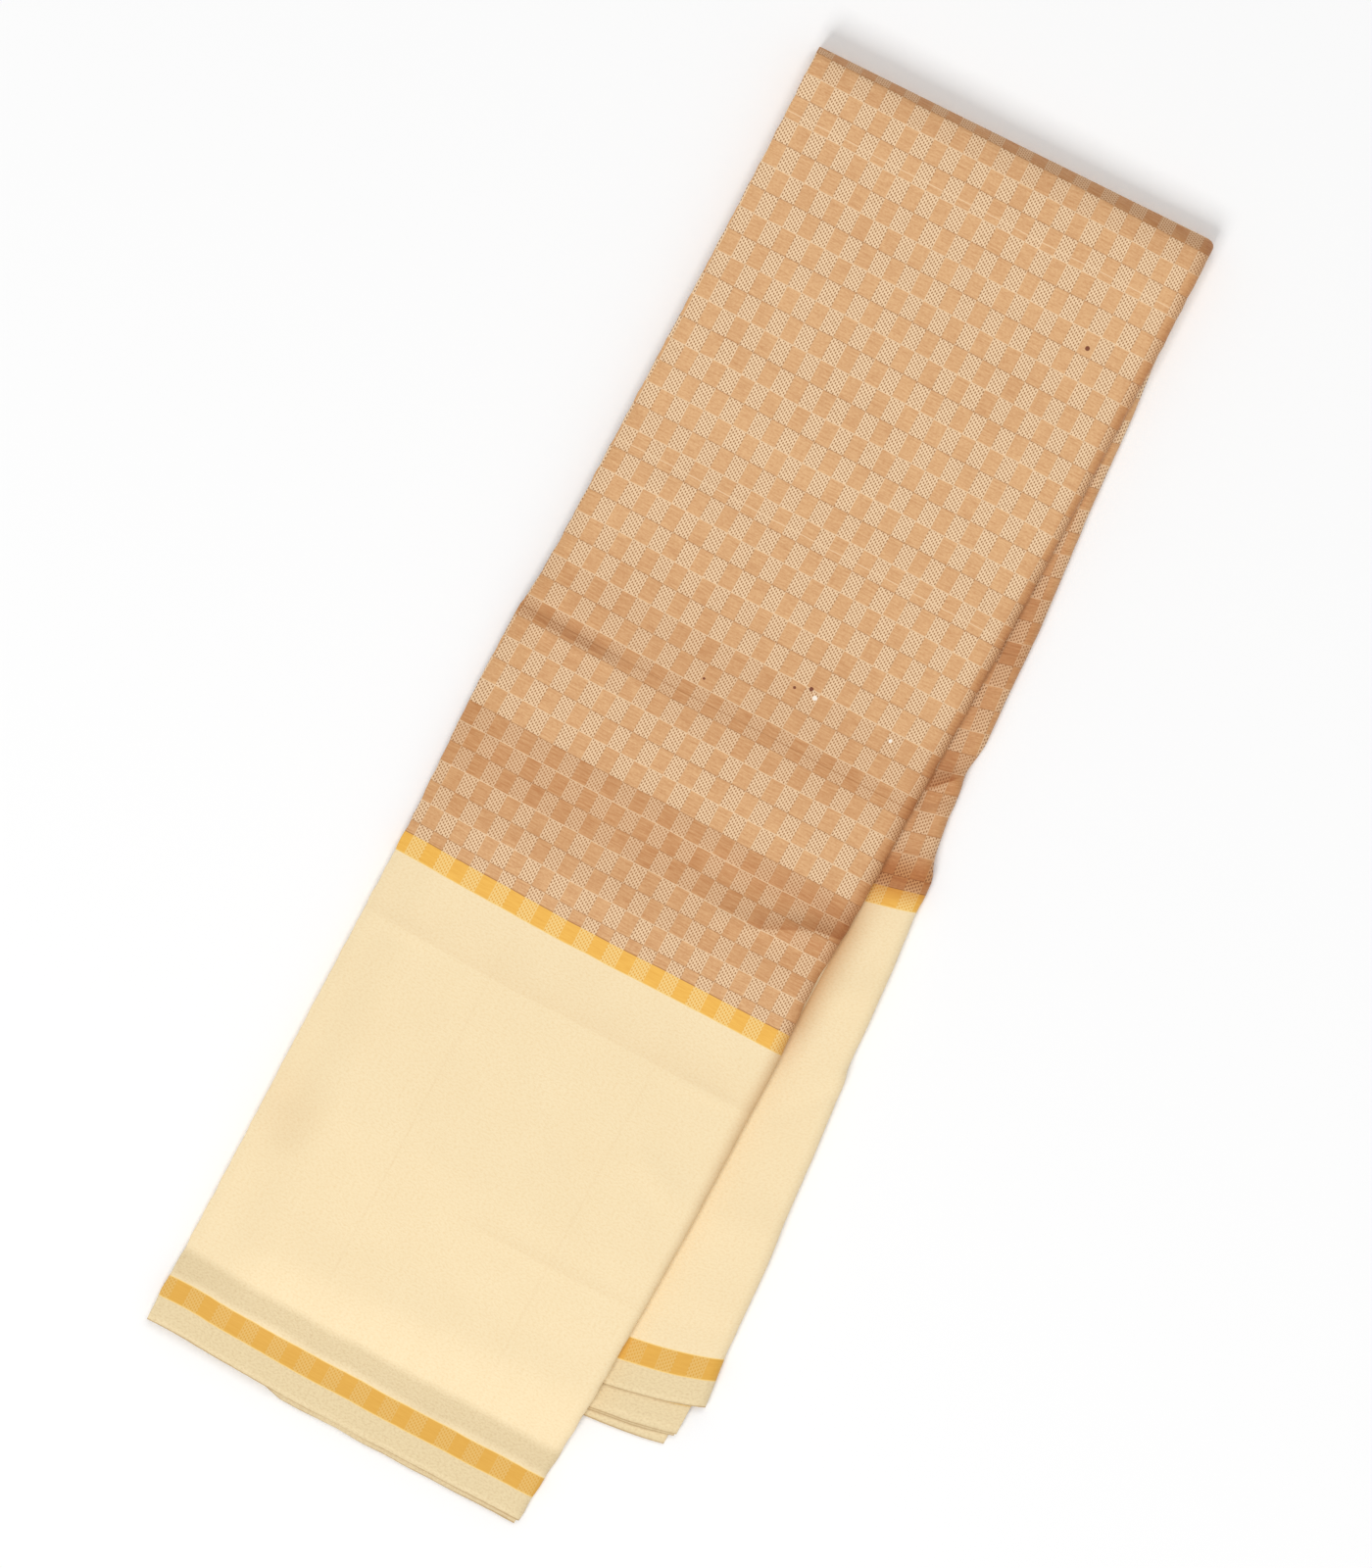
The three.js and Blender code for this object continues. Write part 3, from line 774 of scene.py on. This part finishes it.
def lower_thickness(along, x):
    """Thickness of the lower run, with its left edge pressed flatter and creases where it shows."""
    down = lower_row_down(along, x)
    left, right = lower_row_edges(along)
    edge = EDGE_PRESSED * (1 - soft(x - left, 0, EDGE_REACH)) * soft(down, LOWER_AXIS, 40)
    cover = upper_edges(down)[1]
    shows = soft(x, cover - 3.5, cover + 5) * (1 - 0.6 * soft(x, right - 3, right))
    folds = creased(x, down, lower_creases) + 0.3 * ripple(x, down, 34, 16) - 0.35
    return lower_plain(down) - edge + shows * folds


lower_along = np.linspace(1, 0.0006, 190)[:, None]
lower_run_left, lower_run_right = lower_row_edges(lower_along)
lower_x, lower_height, lower_across = folded_section(
    lower_run_left, lower_run_right, np.zeros_like, lambda x: lower_thickness(lower_along, x),
    ROLL_DEPTH, back_columns, face_columns)
lower_z = lower_thickness(lower_along, np.minimum(lower_x, lower_run_right - ROLL_DEPTH)) - lower_height
lower_point_down = lower_row_down(lower_along, lower_x)
lower_up_the_edge = (1 - lower_along) * (LOWER_END_RIGHT - LOWER_TOP_RIGHT)
in_from_edge = np.clip(lower_across - lower_run_right - PAST_EDGE, 0, TILT_REACH)
lower_tilt = ROW_TILT * (1 - lower_along) * in_from_edge
lower_from_hem = np.interp(lower_up_the_edge + lower_tilt, band_places, band_weave)
column_line = COLUMN_LINE + COLUMN_LINE_LEAN * lower_point_down
shown_across = CELL_START + PAIRS_TO_LINE * CELL_PAIR + column_line - lower_x
shown_across = shown_across + COLUMN_LEAN * np.maximum(lower_from_hem - FIRST_ROW, 0)
on_top = soft(lower_across - lower_run_right, -60, PAST_EDGE)
lower_cloth = new_mesh(
    "lower_cloth",
    in_frame(lower_x, lower_point_down, lower_z),
    grid_faces(*lower_x.shape),
    (lower_across - lower_run_left) * (1 - on_top) + shown_across * on_top,
    lower_from_hem,
)
make_silk_shell(lower_cloth)
lower_cloth.data.materials.append(saree_silk(
    "lower silk",
    ribbed_share=0.0,
    # Painted shade on the lower run beside its slanting fold and next to the upper run, and a painted
    # shadow along the upper run's edge
    shade_places=[(205, 243, 60, 15, 0.9), (200, 345, 90, 130, 0.35)],
    crease_shades=[(198.4, 290, 211.6, 280.2, 15, 0.9), (228, 140, 216.5, 240, 15, 0.8)],
))
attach(lower_cloth, "root")
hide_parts("lower_stretch")

# Folded layers inside
# The rest of the silk, pressed together inside both runs and round the turn. At the left of the strip its
# folded edges show one above the other, none quite in line with the next.

EDGE_COUNT = 9
EDGE_ROUND = 0.9
LAYERS_INSET, LAYERS_INSET_LEFT = 0.8, 1.4
LAYERS_STOP = 26.0
UPPER_LENGTH, LOWER_LENGTH = 612, 537
TURN_FROM_HEM, TURN_ROUND = 614, 8
LOWER_WAVES_SHIFT = 20


def layers_outline(left, right, thickness_at, down):
    """Closed line round the layers of a run: face, rounded fold, other face, folded edges at the left.

    Each folded edge is an arch of its own height, whose crown stands back by its own changing amount.
    """
    def inset(x):
        return LAYERS_INSET_LEFT + (LAYERS_INSET - LAYERS_INSET_LEFT) * soft(x - left, 6.5, 12)
    fold = right - ROLL_DEPTH
    depth = ROLL_DEPTH - LAYERS_INSET
    columns = np.concatenate([[0, 0.02, 0.04, 0.07], np.linspace(0.12, 1, 16)])
    face_x = left + 2.2 + columns * (fold - left - 2.2)
    low, high = inset(face_x), thickness_at(face_x) - inset(face_x)
    angle = np.linspace(np.pi / 2, -np.pi / 2, 11)[1:-1]
    roll_x = fold + depth * np.cos(angle)
    roll_height = (low[:, [-1]] + high[:, [-1]] + (high[:, [-1]] - low[:, [-1]]) * np.sin(angle)) / 2
    part = np.array([0, 0.14, 0.32, 0.5, 0.68, 0.86])
    edge = np.repeat(np.arange(EDGE_COUNT), len(part))
    arch = np.sqrt(np.sin(np.pi * np.tile(part, EDGE_COUNT)))
    long_waves = ripple(down, 40.0 * edge[None, :], 70, 31)
    short_waves = ripple(9.0 * edge[None, :], down, 13, 32)
    back = 1.3 + 0.7 * long_waves + 0.5 * short_waves
    edge_x = left + np.maximum(back, 0.35) + EDGE_ROUND * (1 - arch)
    level = (edge + np.tile(part, EDGE_COUNT)) / EDGE_COUNT
    edge_height = low[:, [0]] + (high[:, [0]] - low[:, [0]]) * level
    x = np.hstack([face_x, roll_x, face_x[:, ::-1], edge_x])
    height = np.hstack([high, roll_height, low[:, ::-1], edge_height])
    return x, height


upper_stop = 1 - LAYERS_STOP / UPPER_LENGTH
lower_stop = 1 - LAYERS_STOP / LOWER_LENGTH
inner_upper_along = np.linspace(upper_stop, 0, 130)[:, None]
inner_turn_angles = np.linspace(0, np.pi, 15)[1:-1, None]
inner_lower_along = np.linspace(0, lower_stop, 120)[:, None]

inner_down = LOWER_AXIS + inner_upper_along * (UPPER_END - LOWER_AXIS)
upper_layers = layers_outline(
    *upper_edges(inner_down), lambda x: upper_thickness(x, upper_down_at(inner_upper_along, x)), inner_down)
turn_layers = layers_outline(
    0 * inner_turn_angles + run_left[-1], 0 * inner_turn_angles + run_right[-1],
    lambda x: np.full_like(x, RUN_THICKNESS), inner_down[-1] - TURN_ROUND * inner_turn_angles)
lower_layers = layers_outline(
    *lower_row_edges(inner_lower_along), lambda x: lower_thickness(inner_lower_along, x),
    -lower_right_down(inner_lower_along) - LOWER_WAVES_SHIFT)

layers_points = [
    upper_place(inner_upper_along, *upper_layers),
    turn_place(inner_turn_angles, *turn_layers),
    (lower_layers[0], lower_row_down(inner_lower_along, lower_layers[0]),
     lower_thickness(inner_lower_along, lower_layers[0]) - lower_layers[1]),
]
layers_x, layers_y, layers_z = (np.vstack(parts) for parts in zip(*layers_points))
around = np.hypot(np.diff(layers_x, axis=1), np.diff(layers_z, axis=1))
layers_across = np.hstack([np.zeros((len(layers_x), 1)), np.cumsum(around, axis=1)])
layers_from_hem = np.vstack([
    LAYERS_STOP + (upper_stop - inner_upper_along) * UPPER_LENGTH,
    TURN_FROM_HEM + TURN_ROUND * inner_turn_angles,
    LAYERS_STOP + (lower_stop - inner_lower_along) * LOWER_LENGTH,
]) + 0 * layers_x
row_count, line_count = layers_x.shape
first_end = np.arange(line_count)[::-1].tolist()
last_end = ((row_count - 1) * line_count + np.arange(line_count)).tolist()
folded_layers = new_mesh(
    "folded_layers",
    in_frame(layers_x, layers_y, layers_z),
    grid_faces(row_count, line_count, closed=True)[:, ::-1],
    layers_across,
    layers_from_hem,
    ends=[first_end, last_end],
)
folded_layers.data.materials.append(saree_silk("layered silk"))
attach(folded_layers, "root")
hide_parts("hidden_layers")

# Leaves at the two ends
# Each layer inside ends in its own selvedge, a little short of its neighbours or a little past them, so
# both ends of the strip are stacks of thin leaves. Each leaf is doubled round its fold at the right.

LEAF_REACH = 24.0
LEAF_SILK = 0.3
LEAF_ROUND = 1.2
LEAF_DROOP = 0.8
LEAF_IN, LEAF_STEP = 1.6, 0.4
LEAF_COLUMNS = 40
PAST_FROM, PAST_FULL = 58, 68
leaf_silk = saree_silk("leaf silk")
leaf_part = np.linspace(1, 0, 9)[:, None]

# Leaves at the upper run's end: upper and lower face as shares of its thickness, how far each one goes past
# the selvedge, and how far in from the fold it stops. One that goes past does so only right of PAST_FROM.
upper_leaves = [
    (0.83, 0.71, -1.2, 2.9),
    (0.66, 0.54, -0.5, 1.7),
    (0.49, 0.36, 2.0, 1.5),
    (0.31, 0.19, -1.8, 2.2),
]

# Leaves at the lower run's end: the same shares, where each ends at its left and right, and its right edge
lower_leaves = [
    (0.80, 0.69, 571.0, 554.7, 225.2),
    (0.64, 0.54, 571.8, 555.9, 224.5),
    (0.43, 0.33, 573.0, 561.0, 222.3),
    (0.28, 0.17, 572.2, 560.0, 221.5),
]


def leaf_line(left, right, low, high):
    """Closed line round a doubled leaf: upper face, round edge, lower face, round edge.

    Gives x, height as a share of the run's thickness, and the distance across the cloth.
    """
    face = left + LEAF_ROUND + np.linspace(0, 1, LEAF_COLUMNS) * (right - left - 2 * LEAF_ROUND)
    angle = np.linspace(np.pi / 2, -np.pi / 2, 9)[1:-1]
    right_round = right - LEAF_ROUND + LEAF_ROUND * np.cos(angle)
    left_round = left + LEAF_ROUND - LEAF_ROUND * np.cos(angle)
    rise = (1 + np.sin(angle)) / 2
    x = np.hstack([face, right_round, face[:, ::-1], left_round])
    faces = np.ones(LEAF_COLUMNS)
    share = low + (high - low) * np.concatenate([faces, rise, 0 * faces, rise[::-1]])
    back_across = 2 * right - face[:, ::-1]
    left_across = 2 * right - left + 0 * left_round
    across = np.hstack([face, 2 * right - right_round, back_across, left_across])
    return x, share + 0 * x, across


def add_leaf(name, x, down, z, across, length):
    """One doubled leaf: its mesh, its thickness and its silk; length sets its distances along the cloth."""
    faces = grid_faces(*x.shape, closed=True)[:, ::-1]
    leaf = new_mesh(name, in_frame(x, down, z), faces, across, (1 - leaf_part) * length + 0 * x)
    make_silk_shell(leaf)
    leaf.modifiers["Silk"].thickness = LEAF_SILK * MM
    leaf.data.materials.append(leaf_silk)
    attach(leaf, "root")
    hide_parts("hidden_layers")


for number, (high, low, past, inside) in enumerate(upper_leaves):
    ends_left, ends_right = upper_edges(UPPER_END - LEAF_REACH * (1 - leaf_part))
    starts_left = ends_left + LEAF_IN + LEAF_STEP * number
    leaf_x, leaf_share, leaf_across = leaf_line(starts_left, ends_right - inside, low, high)
    from_there = soft(leaf_x, PAST_FROM, PAST_FULL) if past > 0 else 1
    reach = past * from_there + 0.25 * ripple(leaf_x, 0 * leaf_x, 19, 60 + number)
    leaf_down = hem_line(leaf_x) + reach * soft(leaf_part, 0.5, 1) - LEAF_REACH * (1 - leaf_part)
    thickness = upper_thickness(leaf_x, leaf_down)
    droop = LEAF_DROOP * soft(leaf_part, 0.5, 1)
    leaf_z = rest_height(leaf_x, leaf_down) + leaf_share * (thickness - droop)
    add_leaf(f"upper_leaf_{number + 1}", leaf_x, leaf_down, leaf_z, leaf_across, LEAF_REACH)

for number, (high, low, end_left, end_right, edge) in enumerate(lower_leaves):
    inner = 1 - LEAF_REACH / (LOWER_END_RIGHT - LOWER_TOP_RIGHT)
    inner_right = lower_row_edges(np.array([[inner]]))[1]
    ends_left = lower_left(end_left - LEAF_REACH * (1 - leaf_part)) + LEAF_IN + LEAF_STEP * number
    ends_right = edge - (edge - inner_right + 2.6) * (1 - soft(leaf_part, 0, 0.7))
    leaf_x, leaf_share, leaf_across = leaf_line(ends_left, ends_right, low, high)
    share = np.clip((leaf_x - ends_left) / (edge - ends_left), 0, 1)
    long_waves = ripple(leaf_x, 0 * leaf_x, 17, 70 + number)
    short_waves = ripple(leaf_x, 0 * leaf_x, 4, 80 + number)
    ragged = 0.35 * long_waves + 0.12 * short_waves
    leaf_end = end_right + (end_left - end_right) * (1 - lower_bow(share, 1)) + ragged
    leaf_start = lower_row_down(inner, leaf_x)
    leaf_down = leaf_start + leaf_part * (leaf_end - leaf_start)
    leaf_z = leaf_share * lower_plain(leaf_down) - LEAF_DROOP * soft(leaf_part, 0.45, 0.8)
    length = LEAF_REACH + end_left - LOWER_END_LEFT
    add_leaf(f"lower_leaf_{number + 1}", leaf_x, leaf_down, leaf_z, leaf_across, length)

# Surface, light and camera
# A plain pale floor, a soft box past the strip's lower end and one past its top, and a camera straight over
# the saree, turned so that the strip lies as in the photograph.

FLOOR_SIZE = 6.0
PALE = (0.98, 0.98, 0.98, 1)
half_floor = FLOOR_SIZE / 2
floor_corners = [(-half_floor, -half_floor, 0), (half_floor, -half_floor, 0),
                 (half_floor, half_floor, 0), (-half_floor, half_floor, 0)]
floor_mesh = bpy.data.meshes.new("floor")
floor_mesh.from_pydata(floor_corners, [], [(0, 1, 2, 3)])
floor = bpy.data.objects.new("floor", floor_mesh)
bpy.context.scene.collection.objects.link(floor)
floor_paint = bpy.data.materials.new("pale floor")
floor_paint.use_nodes = True
floor_shader = floor_paint.node_tree.nodes["Principled BSDF"]
floor_shader.inputs["Base Color"].default_value = PALE
floor_shader.inputs["Roughness"].default_value = 0.9
floor_shader.inputs["Specular IOR Level"].default_value = 0.1
floor_mesh.materials.append(floor_paint)

scene = bpy.context.scene
scene.view_settings.view_transform = "Standard"
world = bpy.data.worlds.new("soft room")
world.use_nodes = True
world.node_tree.nodes["Background"].inputs["Color"].default_value = (1, 1, 1, 1)
world.node_tree.nodes["Background"].inputs["Strength"].default_value = 0.43
scene.world = world


def soft_light(name, place, size, watts):
    """A square soft box that faces the saree."""
    light = bpy.data.lights.new(name, "AREA")
    light.size = size
    light.energy = watts
    box = bpy.data.objects.new(name, light)
    box.location = place
    box.rotation_euler = (-Vector(place)).to_track_quat("-Z", "Y").to_euler()
    scene.collection.objects.link(box)


soft_light("key soft box", (-0.2, -4.1, 4.3), 2.4, 181)
soft_light("fill soft box", (0.0, 1.7, 4.8), 2.8, 66)

PIXEL = 0.42
STRIP_TURN = math.radians(28)
FRAME_TALL = 1600 * PIXEL * MM
CAMERA_DISTANCE = 6.0
CENTRE_RIGHT, CENTRE_DOWN, FACE_HEIGHT = 97.8, 306.3, 14.0
centre = in_frame(np.array([CENTRE_RIGHT]), np.array([CENTRE_DOWN]), np.array([FACE_HEIGHT]))[0]
camera_data = bpy.data.cameras.new("camera")
camera_data.sensor_fit = "VERTICAL"
camera_data.sensor_height = 24
camera_data.lens = 24 * CAMERA_DISTANCE / FRAME_TALL
camera = bpy.data.objects.new("camera", camera_data)
camera.location = Vector(centre) + Vector((0, 0, CAMERA_DISTANCE))
camera.rotation_euler = Euler((0, 0, STRIP_TURN))
scene.collection.objects.link(camera)
scene.camera = camera
